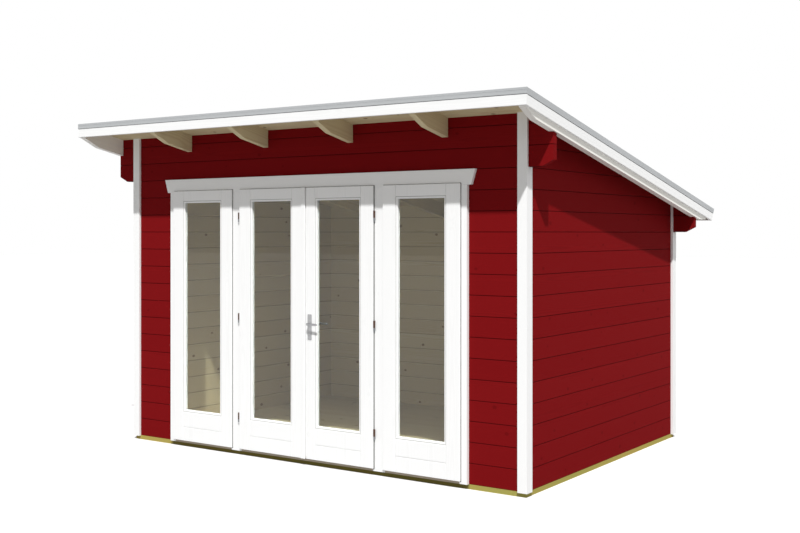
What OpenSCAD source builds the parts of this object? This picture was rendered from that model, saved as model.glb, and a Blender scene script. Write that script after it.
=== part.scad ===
// Log garden shed with a mono-pitch roof, a glazed double door and two fixed side windows.
// Millimetres, +Z up. X runs along the front wall, +Y points from the front to the back.
// The origin lies on the ground below the middle of the roof.

/* [Walls] */
// Length of the front and back walls
wall_len = 3500; // [3200:50:4200]
// Depth of the shed from the front face to the back face
wall_dep = 2500; // [1800:50:3200]
// Height that one log adds to a wall
log_h = 134.6; // [130:0.1:145]
// Thickness of the wall logs
log_t = 44; // [34:1:60]
// Log courses from the base to the top of the front wall
front_courses = 17.5; // [17:0.5:20]
// Width of the V joint between two logs
joint_w = 7; // [3:0.5:12]
// Depth of the V joint between two logs
joint_d = 3; // [1:0.5:6]
// Course at whose foot the front wall starts to run out past the side walls
front_ext_course = 15; // [15:1:16]
// Course at whose foot the back wall starts to run out past the side walls
back_ext_course = 12; // [8:1:12]
// How far the long logs run out past the side walls
ext_len = 190; // [120:5:260]
// Length of the chamfer under the end of a long log
ext_chamfer_l = 80; // [30:5:110]
// Height of the chamfer under the end of a long log
ext_chamfer_h = 40; // [20:5:80]

/* [Base and floor] */
// Height of the base beams
base_h = 32; // [28:1:90]
// Width of the base beams
base_w = 60; // [55:1:90]
// Width of a floor joist
joist_w = 45; // [35:1:70]
// Number of floor joists
joist_n = 5; // [3:1:7]
// Thickness of the floor boards
floor_t = 19; // [16:1:22]
// Gap between the floor boards and the walls
floor_gap = 3; // [1:1:8]

/* [Roof] */
// Pitch of the roof in degrees, falling to the back
pitch = 11.4; // [8:0.1:13]
// Front overhang, wall face to fascia face
front_over = 400; // [300:10:500]
// Back overhang, wall face to the top edge of the roof
back_over = 339; // [290:1:450]
// Depth of a rafter square to its length
rafter_h = 122; // [100:1:140]
// Thickness of a rafter
rafter_w = 45; // [38:1:60]
// Distance from the side wall's face to the centre of an outer rafter
rafter_past = 180; // [150:1:190]
// Length of the tapered nose of a rafter
nose_len = 137; // [80:1:180]
// Height that is left at the front end of the nose
nose_h = 87; // [60:1:95]
// Distance from the back wall to the end of the rafter tail
tail_len = 187; // [120:1:200]
// Distance behind the back wall at which the level underside of the tail starts
tail_level = 50; // [20:1:80]
// Clearance of a rafter in its wall notch
notch_gap = 1; // [0.5:0.5:3]
// Thickness of the roof boards
board_t = 16; // [14:1:22]
// Thickness of the roofing felt
felt_t = 3; // [2:0.5:5]
// Thickness of the folded roof edge strip
edge_t = 2; // [1:0.5:3]
// Height of the roof edge strip on the fascia
edge_h = 39; // [30:1:60]
// Width of the roof edge strip on the felt
edge_w = 50; // [30:1:90]
// Thickness of the front and back fascia
fascia_t = 18; // [15:1:24]
// Thickness of the side bargeboards
barge_t = 16; // [14:1:24]
// Height of fascias and bargeboards, edge strip included
fascia_h = 105; // [90:1:160]
// Play between the layers of the roof, and between them and what carries them
seat_gap = 0.05; // [0.02:0.01:0.3]
// Slant of the roof's back end from the vertical, in degrees
back_slant = 24; // [12:1:30]

/* [Corner boards] */
// Thickness of a corner board
trim_t = 18; // [12:1:24]
// Overlap of a corner board on the front or back wall
trim_face = 50; // [40:1:80]
// Overlap of a corner board on the side wall
trim_side = 53; // [50:1:80]
// How far the corner boards reach down over the base beams
trim_drop = 4; // [0:1:12]

/* [Door unit] */
// Outer width of the frame
frame_w = 2679; // [2400:1:2900]
// How far the frame stands out of the wall face
frame_out = 26; // [20:1:32]
// Width of a jamb
jamb_w = 57; // [50:1:80]
// Width of a mullion between a window and the doors
mullion_w = 102; // [90:1:130]
// Clear width between the mullions
doors_w = 1194; // [1100:1:1300]
// Overlap of the frame on the wall face
frame_lap = 20; // [10:1:30]
// Height of the threshold above the base beams
threshold_h = 29; // [24:1:40]
// Clear height between threshold and head
clear_h = 1890; // [1800:5:1895]
// Height of the header board
header_h = 101; // [80:1:140]
// Width of the header board past the frame, at its foot
header_out = 30; // [10:1:80]
// Extra width of the header board at its top, on each side
header_flare = 31; // [0:1:60]

/* [Door leaves and windows] */
// Thickness of a leaf or sash
leaf_t = 40; // [36:1:50]
// How far a leaf stands proud of the frame
leaf_proud = 14; // [12:1:20]
// Running gap between a leaf and the frame
leaf_gap = 5; // [5:0.5:8]
// Overlap of a leaf's lip on jambs, mullions and threshold
lip_lap = 12; // [8:1:20]
// Overlap of a leaf's lip on the header board
lip_top = 10; // [8:1:20]
// Gap between the two leaves
meet_gap = 7; // [7:0.5:10]
// Width of the stile from the leaf's edge to the glass opening
stile_w = 121; // [100:1:140]
// Width of the top rail
rail_top = 92; // [80:1:140]
// Height of the boarded foot of a leaf
rail_foot = 237; // [200:1:400]
// Thickness of the panes
glass_t = 4; // [3:1:6]
// Depth of the groove that holds a pane
glass_bite = 10; // [6:1:14]
// Width of the strip that covers the meeting stiles
strip_w = 37; // [30:1:40]
// Thickness of the meeting strip
strip_t = 6; // [4:1:10]
// Share of the meeting strip that lies right of the middle
strip_right = 18; // [10:1:20]

/* [Hinges and handle] */
// Outer radius of a hinge barrel
barrel_r = 7; // [6:0.5:8]
// Radius of a hinge pin
pin_r = 4; // [3:0.5:5]
// Clearance round a hinge pin
pin_gap = 0.05; // [0.02:0.01:0.1]
// Height of the sleeve on the leaf
sleeve_h = 48; // [40:1:60]
// Height of the foot on the frame
foot_h = 20; // [14:1:30]
// Gap between foot and sleeve, and between barrel and leaf
sleeve_gap = 0.5; // [0.3:0.1:1]
// Thickness of the tongues that carry foot and sleeve
tongue_w = 6; // [4:1:8]
// Distance between the outer hinges and the ends of the leaf
hinge_inset = 218; // [120:1:300]
// How far the middle hinge sits below the middle of the leaf
hinge_drop = 5; // [0:1:20]
// Distance from the pin's end to the top of the sleeve
sleeve_cap = 8; // [4:1:12]
// Width of the handle plate
plate_w = 36; // [30:1:44]
// Height of the handle plate
plate_h = 180; // [140:1:240]
// Thickness of the handle plate
plate_t = 3; // [2:0.5:5]
// Height of the handle plate above the spindle
plate_up = 68; // [50:1:90]
// Height of the handle spindle above the ground
spindle_z = 1001; // [950:1:1100]
// Distance of the spindle from the leaf's edge
spindle_in = 35; // [30:1:50]
// Radius of the spindle
spindle_r = 4; // [3:0.5:5]
// Radius of the lever's neck
neck_r = 8; // [6:0.5:10]
// Depth to which the neck reaches into the leaf
neck_in = 2; // [1:1:6]
// Clearance of the neck in the leaf
lock_gap = 2; // [1:0.5:4]
// Clearance of the neck in the handle plate
neck_gap = 0.1; // [0.1:0.1:0.5]
// Distance from the leaf to the middle of the grip
grip_out = 41; // [35:1:60]
// Length of the grip from the spindle to its end
grip_len = 97; // [90:1:130]
// Height of the grip
grip_h = 14; // [10:1:20]
// Thickness of the grip
grip_t = 11; // [8:1:14]

/* [Hidden] */
$fn = 48;

far = 6000;
half_len = wall_len / 2;
inner_len = half_len - log_t;
fall = tan(pitch);
lean = tan(back_slant);
up = 1 / cos(pitch);

// Roof lines: heights over the ground at a depth y behind the front wall's face.
front_top = base_h + front_courses * log_h;
function soffit(y) = front_top - y * fall;
function roof_top(y) = soffit(y) + d_board + seat_gap;
roof_front = -front_over - edge_t;
roof_back = wall_dep + back_over;
y_shift = -(roof_front + roof_back) / 2;

// Undersides of the edge strips, the felt and the boards, as depths below the roof's top line.
d_edge = edge_t * up;
d_felt = d_edge + seat_gap + felt_t * up;
d_board = d_felt + seat_gap + board_t * up;

// Widths of the roof layers from the middle.
rafter_step = (half_len + rafter_past) / 2.5;
rafter_out = half_len + rafter_past + rafter_w / 2;
roof_half = rafter_out + barge_t;

// Heights of the door unit.
sill_z = base_h + threshold_h;
head_z = sill_z + clear_h;
leaf_z0 = sill_z - lip_lap;
leaf_z1 = head_z + lip_top;
open_half = frame_w / 2 - frame_lap;
opening_top = base_h + front_ext_course * log_h;
back_split = base_h + back_ext_course * log_h;

// Planes of the leaves.
leaf_front = -frame_out - leaf_proud;
lip_back = -frame_out - leaf_gap;
leaf_back = leaf_front + leaf_t;
glass_y = leaf_front + (leaf_t - glass_t) / 2;

// Edges of the lips, measured along X.
door_edge = doors_w / 2 + lip_lap;
win_in = doors_w / 2 + mullion_w - lip_lap;
win_out = frame_w / 2 - jamb_w + lip_lap;
meet_left = strip_right;
meet_right = meet_left + meet_gap;

// Hinge axis beside the lip's edge and clear of the frame's face.
axis_x = door_edge + barrel_r + sleeve_gap;
axis_y = (leaf_front + lip_back) / 2;
hinge_zs = [leaf_z0 + hinge_inset, (leaf_z0 + leaf_z1) / 2 - hinge_drop, leaf_z1 - hinge_inset];
pin_h = sleeve_h - sleeve_cap;
spindle_x = meet_right + spindle_in;

RED = [0.42, 0.05, 0.06];
WHITE = [0.93, 0.93, 0.91];
PINE = [0.80, 0.66, 0.44];
HARDWOOD = [0.62, 0.59, 0.52];
GREEN_WOOD = [0.66, 0.62, 0.32];
GREY = [0.66, 0.68, 0.69];
STEEL = [0.62, 0.63, 0.64];
COPPER = [0.42, 0.25, 0.12];
PANE = [0.55, 0.60, 0.60, 0.4];

// Puts a piece drawn from the front wall's face into the part's frame.
module place() translate([0, y_shift, 0]) children();

// A Y-Z outline carried along X from x0 to x1.
module side_profile(points, x0, x1)
    translate([x0, 0, 0]) rotate([90, 0, 90]) linear_extrude(x1 - x0) polygon(points);

// An X-Z outline carried along Y from y0 to y1.
module front_profile(points, y0, y1)
    translate([0, y1, 0]) rotate([90, 0, 0]) linear_extrude(y1 - y0) polygon(points);

module block(low, high) translate(low) cube(high - low);

module mirrored(left) mirror([left ? 1 : 0, 0, 0]) children();

// ---- logs ----

// V joints at the log joints from z0 to z1, on both faces of a wall that runs along X.
module joints_x(y0, x0, x1, z0, z1) {
    for (n = [1 : 1 : front_courses]) {
        z = base_h + n * log_h;
        if (z > z0 - 1 && z < z1 + 1)
            for (face = [y0, y0 + log_t])
                side_profile(joint_outline(face, z), x0, x1);
    }
}

// The same for a side wall that runs along Y.
module joints_y(x0, y0, y1, z1) {
    for (n = [1 : 1 : front_courses]) {
        z = base_h + n * log_h;
        if (z < z1)
            for (face = [x0, x0 + log_t])
                front_profile(joint_outline(face, z), y0, y1);
    }
}

function joint_outline(face, z) = [
    [face - joint_d, z], [face, z - joint_w / 2], [face + joint_d, z], [face, z + joint_w / 2]
];

// Everything above the roof boards' underside.
module above_soffit()
    side_profile([[-far, soffit(-far)], [far, soffit(far)], [far, far], [-far, far]], -far, far);

function notch_foot(y) = soffit(y) - rafter_h * up - seat_gap;

// Rafters as cutters for the notches in the walls.
module rafter_notches() {
    for (n = [-2.5 : 1 : 2.5])
        side_profile([[-far, soffit(-far)], [far, soffit(far)],
            [far, notch_foot(far)], [-far, notch_foot(-far)]],
            n * rafter_step - rafter_w / 2 - notch_gap, n * rafter_step + rafter_w / 2 + notch_gap);
}

// Outline of the top logs of a long wall, which run out past the side walls over a chamfer.
function long_logs(z0, z1) = [
    [-half_len - ext_len + ext_chamfer_l, z0], [half_len + ext_len - ext_chamfer_l, z0],
    [half_len + ext_len, z0 + ext_chamfer_h], [half_len + ext_len, z1],
    [-half_len - ext_len, z1], [-half_len - ext_len, z0 + ext_chamfer_h]
];

module top_logs(y0, z0) difference() {
    front_profile(long_logs(z0, soffit(y0)), y0, y0 + log_t);
    above_soffit();
    rafter_notches();
    joints_x(y0, -far, far, z0, soffit(y0));
}

// The part of the front wall beside the door unit.
module front_wall_side(left) place() mirrored(left) color(RED)
    difference() {
        block([open_half, 0, base_h], [half_len, log_t, opening_top]);
        joints_x(0, open_half - 1, half_len + 1, base_h, opening_top);
    }

module side_wall(left) place() mirrored(left) color(RED)
    difference() {
        side_profile([[log_t, base_h], [wall_dep - log_t, base_h],
            [wall_dep - log_t, soffit(wall_dep - log_t)], [log_t, soffit(log_t)]], inner_len, half_len);
        joints_y(inner_len, 0, wall_dep, soffit(log_t));
    }

module front_wall_left() front_wall_side(true);
module front_wall_right() front_wall_side(false);
module front_wall_top() place() color(RED) top_logs(0, opening_top);
module back_wall_top() place() color(RED) top_logs(wall_dep - log_t, back_split);

module back_wall() place() color(RED)
    difference() {
        block([-half_len, wall_dep - log_t, base_h], [half_len, wall_dep, back_split]);
        joints_x(wall_dep - log_t, -far, far, base_h, back_split);
    }

module left_wall() side_wall(true);
module right_wall() side_wall(false);

// ---- base and floor ----

module long_bearers() place() color(GREEN_WOOD)
    for (y = [0, wall_dep - base_w])
        block([-half_len, y, 0], [half_len, y + base_w, base_h]);

module side_bearers() place() color(GREEN_WOOD)
    for (left = [true, false])
        mirrored(left) block([half_len - base_w, base_w, 0], [half_len, wall_dep - base_w, base_h]);

module floor_joists() place() color(GREEN_WOOD) {
    step = (wall_len - 2 * base_w) / (joist_n + 1);
    for (n = [1 : joist_n])
        translate([-half_len + base_w + n * step - joist_w / 2, base_w, 0])
            cube([joist_w, wall_dep - 2 * base_w, base_h]);
}

module floor_boards() place() color(PINE)
    block([-inner_len + floor_gap, log_t + floor_gap, base_h],
        [inner_len - floor_gap, wall_dep - log_t - floor_gap, base_h + floor_t]);

// ---- roof ----

// Point at depth d below the roof's top line.
function at(y, d) = [y, roof_top(y) - d];
// Point on the slanted back end, moved in by off.
function at_back(off, d) = at(roof_back - off - d * lean, d);
// Layer of the roof between the depths d0 and d1.
function layer(y0, d0, d1, off) = [at(y0, d0), at_back(off, d0), at_back(off, d1), at(y0, d1)];

// Outline of a rafter: a tapered nose behind the fascia and a level tail behind the back wall.
nose_y = -front_over + fascia_t;
tail_y = wall_dep + tail_len;
tail_z = soffit(wall_dep + tail_level) - rafter_h * up;
rafter_outline = [
    [nose_y, soffit(nose_y)], [nose_y, soffit(nose_y) - nose_h],
    [nose_y + nose_len, soffit(nose_y + nose_len) - rafter_h * up],
    [wall_dep + tail_level, tail_z], [tail_y, tail_z], [tail_y, soffit(tail_y)]
];

// Distance of the back fascia's face from the roof's back end.
fascia_off = edge_t + seat_gap;

module rafter(n) side_profile(rafter_outline, n * rafter_step - rafter_w / 2, n * rafter_step + rafter_w / 2);

module inner_rafters() place() color(PINE) for (n = [-1.5 : 1 : 1.5]) rafter(n);
module left_outer_rafter() place() color(WHITE) rafter(-2.5);
module right_outer_rafter() place() color(WHITE) rafter(2.5);

module roof_boards() place() color(PINE)
    side_profile(layer(nose_y, d_felt + seat_gap, d_board, fascia_off + fascia_t + seat_gap), -rafter_out, rafter_out);

module roof_felt() place() color(GREY)
    side_profile(layer(-front_over, d_edge + seat_gap, d_felt, fascia_off), -roof_half, roof_half);

fascia_foot = roof_top(-front_over) - fascia_h;
d_fascia = d_felt + seat_gap;

module front_fascia() place() color(WHITE)
    side_profile([at(-front_over, d_fascia), at(nose_y, d_fascia), [nose_y, fascia_foot],
        [-front_over, fascia_foot]], -roof_half, roof_half);

module back_fascia() place() color(WHITE)
    side_profile([at_back(fascia_off, d_fascia), at_back(fascia_off + fascia_t, d_fascia),
        at_back(fascia_off + fascia_t, fascia_h), at_back(fascia_off, fascia_h)], -rafter_out, rafter_out);

module bargeboard(left) place() mirrored(left) color(WHITE)
    side_profile(layer(nose_y, d_fascia, fascia_h, fascia_off), rafter_out, roof_half);

module left_bargeboard() bargeboard(true);
module right_bargeboard() bargeboard(false);

// Folded strips: one leg lies on the felt and the other hangs over the fascia.
module front_roof_edge() place() color(GREY)
    side_profile([at(roof_front, 0), at(roof_front + edge_w, 0), at(roof_front + edge_w, d_edge),
        at(-front_over, d_edge), at(-front_over, edge_h), at(roof_front, edge_h)],
        -roof_half - edge_t, roof_half + edge_t);

module back_roof_edge() place() color(GREY)
    side_profile([at_back(0, 0), at_back(edge_w, 0), at_back(edge_w, d_edge), at_back(edge_t, d_edge),
        at_back(edge_t, edge_h), at_back(0, edge_h)], -roof_half - edge_t, roof_half + edge_t);

module side_roof_edges() place() color(GREY)
    for (left = [true, false])
        mirrored(left) {
            side_profile(side_leg(0, d_edge), roof_half - edge_w, roof_half + edge_t);
            side_profile(side_leg(0, edge_h), roof_half, roof_half + edge_t);
            side_profile(layer(-front_over, d_edge, edge_h, fascia_off), roof_half, roof_half + edge_t);
        }

// A side strip's leg between the two strips across, from depth d0 to depth d1.
function side_leg(d0, d1) = layer(roof_front + edge_w, d0, d1, edge_w + seat_gap);

// ---- corner boards ----

// One corner: a board on the long wall and one on the side wall, notched round the long logs.
module corner(front) {
    z0 = base_h - trim_drop;
    z_ext = front ? opening_top : back_split;
    face = front ? 0 : wall_dep;
    in = front ? 1 : -1;
    difference() {
        union() {
            corner_board(half_len - trim_face, face, face - in * trim_t, z0);
            corner_board(half_len, face, face + in * trim_side, z0);
        }
        above_soffit();
        corner_board(half_len, face, face + in * log_t, z_ext);
    }
}

// A block from the height z0 upwards, between x0 and the outer face, and between two depths.
module corner_board(x0, y0, y1, z0)
    block([x0, min(y0, y1), z0], [half_len + trim_t, max(y0, y1), front_top + log_h]);

module front_left_corner() place() mirrored(true) color(WHITE) corner(true);
module front_right_corner() place() color(WHITE) corner(true);
module back_left_corner() place() mirrored(true) color(WHITE) corner(false);
module back_right_corner() place() color(WHITE) corner(false);

// ---- frame of the door unit ----

// A jamb covers the edge of the opening with its front part.
jamb_outline = [
    [frame_w / 2 - jamb_w, -frame_out], [frame_w / 2, -frame_out], [frame_w / 2, 0],
    [open_half, 0], [open_half, log_t], [frame_w / 2 - jamb_w, log_t]
];

module frame_jambs() place() color(WHITE)
    for (left = [true, false])
        mirrored(left)
            translate([0, 0, base_h]) linear_extrude(head_z - base_h) polygon(jamb_outline);

module frame_mullions() place() color(WHITE)
    for (left = [true, false])
        mirrored(left)
            block([doors_w / 2, -frame_out, base_h], [doors_w / 2 + mullion_w, log_t, head_z]);

module frame_head() place() color(WHITE)
    block([-open_half, 0, head_z], [open_half, log_t, opening_top]);

module threshold() place() color(HARDWOOD) {
    block([-doors_w / 2, -frame_out, base_h], [doors_w / 2, log_t, sill_z]);
    for (left = [true, false])
        mirrored(left)
            block([doors_w / 2 + mullion_w, -frame_out, base_h],
                [frame_w / 2 - jamb_w, log_t, sill_z]);
}

module header_board() place() color(WHITE) {
    foot = frame_w / 2 + header_out;
    top = foot + header_flare;
    front_profile([[-foot, head_z], [foot, head_z], [top, head_z + header_h], [-top, head_z + header_h]],
        -frame_out, 0);
}

// ---- leaves and windows ----

// A glazed panel. lip, body and glass are [low, high] along X: the lip lies on the frame, the body
// fits into it with gap z_gap above and below, and a groove round the opening holds the pane.
module glazed_panel(lip, body, glass, behind_lip, z_gap) difference() {
    union() {
        block([lip[0], leaf_front, leaf_z0], [lip[1], behind_lip, leaf_z1]);
        block([body[0], behind_lip, sill_z + z_gap], [body[1], leaf_back, head_z - z_gap]);
    }
    block([glass[0], leaf_front, leaf_z0 + rail_foot], [glass[1], leaf_back, leaf_z1 - rail_top]);
    pane(glass);
}

module pane(glass)
    block([glass[0] - glass_bite, glass_y, leaf_z0 + rail_foot - glass_bite],
        [glass[1] + glass_bite, glass_y + glass_t, leaf_z1 - rail_top + glass_bite]);

window_lip = [win_in, win_out];
window_body = [win_in + lip_lap, win_out - lip_lap];
window_opening = [win_in + stile_w, win_out - stile_w];
door_opening = [stile_w, door_edge - stile_w];
body_edge = doors_w / 2 - leaf_gap;

module window_sash(left) place() mirrored(left) color(WHITE)
    glazed_panel(window_lip, window_body, window_opening, -frame_out, 0);

module left_window_sash() window_sash(true);
module right_window_sash() window_sash(false);
module window_glass() place() color(PANE) for (left = [true, false]) mirrored(left) pane(window_opening);

// The meeting edge lies right of the middle, under the right edge of the strip.
module left_door_leaf() place() mirrored(true) color(WHITE)
    glazed_panel([-meet_left, door_edge], [-meet_left, body_edge], door_opening, lip_back, leaf_gap);

module right_door_leaf() place() color(WHITE)
    difference() {
        glazed_panel([meet_right, door_edge], [meet_right, body_edge], door_opening, lip_back, leaf_gap);
        translate([0, leaf_front, 0]) at_spindle() cylinder(r = neck_r + lock_gap, h = leaf_t);
    }

module left_door_glass() place() mirrored(true) color(PANE) pane(door_opening);
module right_door_glass() place() color(PANE) pane(door_opening);

module meeting_strip() place() color(WHITE)
    block([strip_right - strip_w, leaf_front - strip_t, leaf_z0], [strip_right, leaf_front, leaf_z1]);

// ---- hinges ----

module at_hinges(left) mirrored(left) for (z = hinge_zs) translate([axis_x, axis_y, z]) children();

// The half on the frame: a foot with the pin that stands up in the sleeve.
module frame_hinges() place() color(STEEL)
    for (left = [true, false])
        at_hinges(left) {
            translate([0, 0, -foot_h]) cylinder(r = barrel_r, h = foot_h);
            cylinder(r = pin_r, h = pin_h);
            translate([-tongue_w / 2, 0, -foot_h]) cube([tongue_w, -frame_out - axis_y, foot_h]);
        }

// The half on the leaf: a sleeve over the pin, with a tongue to the lip's edge.
module leaf_hinges(left) place() color(COPPER)
    at_hinges(left)
        difference() {
            translate([0, 0, sleeve_gap]) {
                cylinder(r = barrel_r, h = sleeve_h);
                translate([door_edge - axis_x, -tongue_w / 2, 0]) cube([axis_x - door_edge, tongue_w, sleeve_h]);
            }
            cylinder(r = pin_r + pin_gap, h = pin_h + 1);
        }

module left_door_hinges() leaf_hinges(true);
module right_door_hinges() leaf_hinges(false);

// ---- handle ----

module at_spindle() translate([spindle_x, 0, spindle_z]) rotate([-90, 0, 0]) children();

module handle_plates() place() color(STEEL)
    for (y = [leaf_front - plate_t, leaf_back])
        difference() {
            translate([spindle_x - plate_w / 2, y, spindle_z + plate_up - plate_h])
                cube([plate_w, plate_t, plate_h]);
            translate([0, y, 0]) at_spindle() cylinder(r = neck_r + neck_gap, h = plate_t);
        }

// Spindle, two necks and two grips turn as one piece.
module door_lever() place() color(STEEL) {
    outer = leaf_front - grip_out;
    inner = leaf_back + grip_out;
    translate([0, outer, 0]) at_spindle() cylinder(r = spindle_r, h = inner - outer);
    for (y = [outer, leaf_back - neck_in])
        translate([0, y, 0]) at_spindle() cylinder(r = neck_r, h = grip_out + neck_in);
    for (y = [outer, inner])
        translate([0, y - grip_t / 2, 0]) at_spindle() grip();
}

// The grip runs from the spindle towards the hinges and ends round.
module grip() {
    cylinder(r = neck_r, h = grip_t);
    translate([0, -grip_h / 2, 0]) cube([grip_len - grip_h / 2, grip_h, grip_t]);
    translate([grip_len - grip_h / 2, 0, 0]) cylinder(r = grip_h / 2, h = grip_t);
}

long_bearers();
side_bearers();
floor_joists();
floor_boards();
front_wall_left();
front_wall_right();
front_wall_top();
back_wall();
back_wall_top();
left_wall();
right_wall();
inner_rafters();
left_outer_rafter();
right_outer_rafter();
roof_boards();
roof_felt();
front_roof_edge();
back_roof_edge();
side_roof_edges();
front_fascia();
back_fascia();
left_bargeboard();
right_bargeboard();
front_left_corner();
front_right_corner();
back_left_corner();
back_right_corner();
frame_jambs();
frame_mullions();
frame_head();
threshold();
header_board();
left_window_sash();
right_window_sash();
window_glass();
left_door_leaf();
left_door_glass();
meeting_strip();
right_door_leaf();
right_door_glass();
frame_hinges();
left_door_hinges();
right_door_hinges();
handle_plates();
door_lever();
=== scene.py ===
import math

import bmesh
import bpy
import numpy as np
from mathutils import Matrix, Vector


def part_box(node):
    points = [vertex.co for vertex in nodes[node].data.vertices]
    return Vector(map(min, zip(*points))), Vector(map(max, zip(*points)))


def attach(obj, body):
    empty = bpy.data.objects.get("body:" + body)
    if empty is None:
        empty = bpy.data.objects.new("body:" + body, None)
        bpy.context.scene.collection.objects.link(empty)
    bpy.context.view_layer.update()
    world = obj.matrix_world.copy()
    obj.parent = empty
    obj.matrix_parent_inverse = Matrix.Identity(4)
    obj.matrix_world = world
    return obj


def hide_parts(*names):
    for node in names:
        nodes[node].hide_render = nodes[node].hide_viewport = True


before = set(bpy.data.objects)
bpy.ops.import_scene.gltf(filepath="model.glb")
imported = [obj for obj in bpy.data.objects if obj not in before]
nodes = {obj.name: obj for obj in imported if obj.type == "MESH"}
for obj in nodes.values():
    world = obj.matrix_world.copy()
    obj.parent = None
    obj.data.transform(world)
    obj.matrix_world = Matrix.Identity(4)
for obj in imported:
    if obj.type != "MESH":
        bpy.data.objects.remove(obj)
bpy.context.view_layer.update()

X, Y, Z = range(3)

# ---- Base beams and floor joists ----
# Sawn softwood, pressure-treated against rot, which leaves it yellow with a green cast. The beams
# lie flat on the ground under the walls, and the joists fill the space between them.


class Value:
    """A number that varies over a surface. Python operators on it add Math nodes."""

    def __init__(self, finish, socket):
        self.finish = finish
        self.socket = socket

    def math(self, operation, *terms):
        return self.finish.node("ShaderNodeMath", {"operation": operation}, dict(enumerate(terms)))

    def __add__(self, other):
        return self.math("ADD", self, other)

    def __sub__(self, other):
        return self.math("SUBTRACT", self, other)

    def __rsub__(self, other):
        return self.math("SUBTRACT", other, self)

    def __mul__(self, other):
        return self.math("MULTIPLY", self, other)

    def __truediv__(self, other):
        return self.math("DIVIDE", self, other)

    def __rtruediv__(self, other):
        return self.math("DIVIDE", other, self)

    def __pow__(self, other):
        return self.math("POWER", self, other)

    def __lt__(self, other):
        return self.math("LESS_THAN", self, other)

    def __gt__(self, other):
        return self.math("GREATER_THAN", self, other)

    def __abs__(self):
        return self.math("ABSOLUTE", self)

    def floor(self):
        return self.math("FLOOR", self)

    def sine(self):
        return self.math("SINE", self)

    __radd__ = __add__


class Finish:
    """A material in the making. Its constants sit on the Principled shader's own sockets."""

    def __init__(self, name, constants):
        self.material = bpy.data.materials.new(name)
        self.material.use_nodes = True
        self.tree = self.material.node_tree
        self.shader = self.tree.nodes["Principled BSDF"]
        for socket, value in constants.items():
            self.shader.inputs[socket].default_value = value

    def node(self, kind, settings, sockets, output=0):
        """Adds a node, sets its settings and then its sockets, and returns one output."""
        new = self.tree.nodes.new(kind)
        for key, value in settings.items():
            setattr(new, key, value)
        for key, value in sockets.items():
            if isinstance(value, Value):
                self.tree.links.new(value.socket, new.inputs[key])
            else:
                new.inputs[key].default_value = value
        return Value(self, new.outputs[output])

    def feed(self, socket, value):
        self.tree.links.new(value.socket, self.shader.inputs[socket])

    def coordinates(self, slope=0.0):
        """Object coordinates x, y, z, turned about X so that y runs down a roof of that slope."""
        place = self.node("ShaderNodeTexCoord", {}, {}, "Object")
        x, y, z = (self.node("ShaderNodeSeparateXYZ", {}, {0: place}, axis) for axis in "XYZ")
        if not slope:
            return x, y, z
        sin, cos = math.sin(slope), math.cos(slope)
        return x, y * cos - z * sin, y * sin + z * cos

    def vector(self, x, y, z):
        return self.node("ShaderNodeCombineXYZ", {}, {0: x, 1: y, 2: z})

    def noise(self, x, y, z, detail=2.0):
        """Cloudy noise round 0.5, one cloud to each unit."""
        return self.node("ShaderNodeTexNoise", {},
                         {"Vector": self.vector(x, y, z), "Scale": 1.0, "Detail": detail})

    def chance(self, number):
        """A random value from 0 to 1 that belongs to a number."""
        return self.node("ShaderNodeTexWhiteNoise", {"noise_dimensions": "1D"}, {"W": number})

    def rise(self, value, low, high):
        """0 below low, 1 above high and a smooth step between; high may be below low."""
        return self.node("ShaderNodeMapRange", {"interpolation_type": "SMOOTHSTEP"},
                         {"Value": value, "From Min": low, "From Max": high})

    def mix(self, a, b, factor):
        """Colour a where factor is 0 and colour b where it is 1."""
        return self.node("ShaderNodeMix", {"data_type": "RGBA"}, {0: factor, 6: a, 7: b}, 2)

    def bump(self, height, depth):
        """Relief of height 0 to 1, depth metres from its lowest to its highest point."""
        normal = self.node("ShaderNodeBump", {}, {"Height": height, "Distance": depth})
        self.feed("Normal", normal)


class Timber:
    """Wood sawn into boards. Growth rings are a sine of the distance from a pith line that runs
    along the grain at a place of its own in each board. Fibres are noise drawn out along the grain.
    Knots sit one to a cell along the board, in a random share of the cells, and push the rings
    aside. The pattern repeats over a block of depth. The factors in the seeds keep boards and
    cells apart."""

    def __init__(self, finish, along, across, width, start=0.0, slope=0.0, knots=0.5, ring=0.006):
        place = finish.coordinates(slope)
        a, c, d = place[along], place[across], place[3 - along - across]
        block, cell = 0.12, 0.62
        knot_r, knot_spread = 0.006, 0.007
        bend, bend_reach = 0.010, 0.028
        d = d.math("WRAP", d, block / 2, -block / 2)
        number = ((c - start) / width).floor()
        c = c - start - (number + 0.5) * width
        self.lot = finish.chance(number * 7.31 + 0.5)
        u = a / cell + self.lot * 9.0
        step = u.floor()
        seed = step * 3.17 + number * 17.9
        to_knot = (u - step - 0.15 - finish.chance(seed) * 0.7) * cell
        sideways = c - (finish.chance(seed + 0.33) - 0.5) * (0.7 * width)
        reach = (to_knot * to_knot * 0.5 + sideways * sideways) ** 0.5
        there = finish.chance(seed + 0.71) < knots
        radius = finish.chance(seed + 0.9) * knot_spread + knot_r
        self.knot = finish.rise(reach / radius, 1.15, 0.8) * there
        push = there * bend / ((reach / bend_reach) ** 2.0 + 1.0)
        wander = finish.noise(a * 0.7, number * 3.7, c * 2.0) - 0.5
        pith_c = c - (finish.chance(number * 3.3 + 0.2) - 0.5) * (1.2 * width)
        pith_d = d - (finish.chance(number * 5.1 + 0.7) - 0.5) * 0.1 + wander * 0.05
        distance = (pith_c * pith_c + pith_d * pith_d) ** 0.5 + push
        self.rings = ((distance * (2 * math.pi / ring)).sine() * 0.5 + 0.5) ** 2.2
        self.fibre = finish.noise(a * 5.0, c * 240.0, d * 240.0)
        self.cloud = finish.noise(a * 0.9, number * 4.3 + c * 4.0, d * 4.0)


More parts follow.
